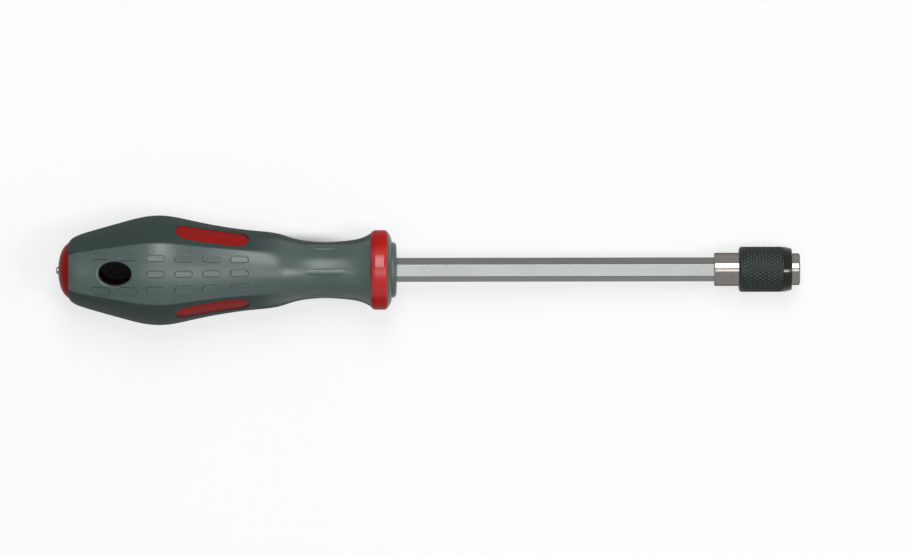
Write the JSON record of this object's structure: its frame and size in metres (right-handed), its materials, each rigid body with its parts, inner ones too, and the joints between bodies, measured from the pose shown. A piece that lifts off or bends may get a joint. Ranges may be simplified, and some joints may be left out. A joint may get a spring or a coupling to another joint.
{
  "type": "long screwdriver",
  "caption": "Long bit-holding screwdriver: soft-covered handle with hanging hole, hexagon blade and quick-release chuck with a sliding sleeve.",
  "frame": {"origin": "centre of the nose face of the chuck, at the mouth of the bit socket", "axes": "+X along the blade and out of the nose, with the handle towards -X; +Z out of the handle's flat front, along the hanging hole"},
  "size_m": [0.223, 0.033, 0.0306],
  "materials": {
    "blade_steel": "satin nickel plate",
    "chuck_steel": "turned and polished",
    "magnet_plating": "bright nickel plate",
    "ball_steel": "polished",
    "black_sleeve": "burnished black, knurled",
    "spring_steel": "plain",
    "grey_collar": "satin",
    "red_plastic": "satin",
    "grey_grip": "soft, slightly silky"
  },
  "bodies": {
    "tool": {"handle_core": "red_plastic", "grip": "grey_grip", "nose_collar": "grey_collar", "end_cap": "red_plastic", "cap_pin": "chuck_steel", "shaft": "blade_steel", "chuck_body": "chuck_steel", "magnet": "magnet_plating", "snap_ring": "spring_steel"},
    "spring_seat": {"spring_washer": "spring_steel", "sleeve_spring": "spring_steel"},
    "sleeve": {"release_sleeve": "black_sleeve"},
    "ball_top": {"locking_ball_top": "ball_steel"},
    "ball_bottom": {"locking_ball_bottom": "ball_steel"}
  },
  "joints": [
    {"name": "sleeve_spin", "type": "hinge", "parent": "tool", "child": "spring_seat", "pos_m": [-0.0104, 0, 0], "axis": [1, 0, 0], "continuous": true},
    {"name": "sleeve_slide", "type": "slide", "parent": "spring_seat", "child": "sleeve", "axis": [1, 0, 0], "range_m": [0, 0.0024], "stiffness_N_per_m": 800, "springref_m": -0.004, "deforming": ["sleeve_spring"]},
    {"name": "ball_top_rise", "type": "slide", "parent": "tool", "child": "ball_top", "axis": [0, 0, 1], "range_m": [0, 0.00045]},
    {"name": "ball_bottom_rise", "type": "slide", "parent": "tool", "child": "ball_bottom", "axis": [0, 0, -1], "range_m": [0, 0.00045]}
  ],
  "couplings": [
    {"joint": "ball_top_rise", "follows": "sleeve_slide", "ratio": 0.1875},
    {"joint": "ball_bottom_rise", "follows": "sleeve_slide", "ratio": 0.1875}
  ]
}
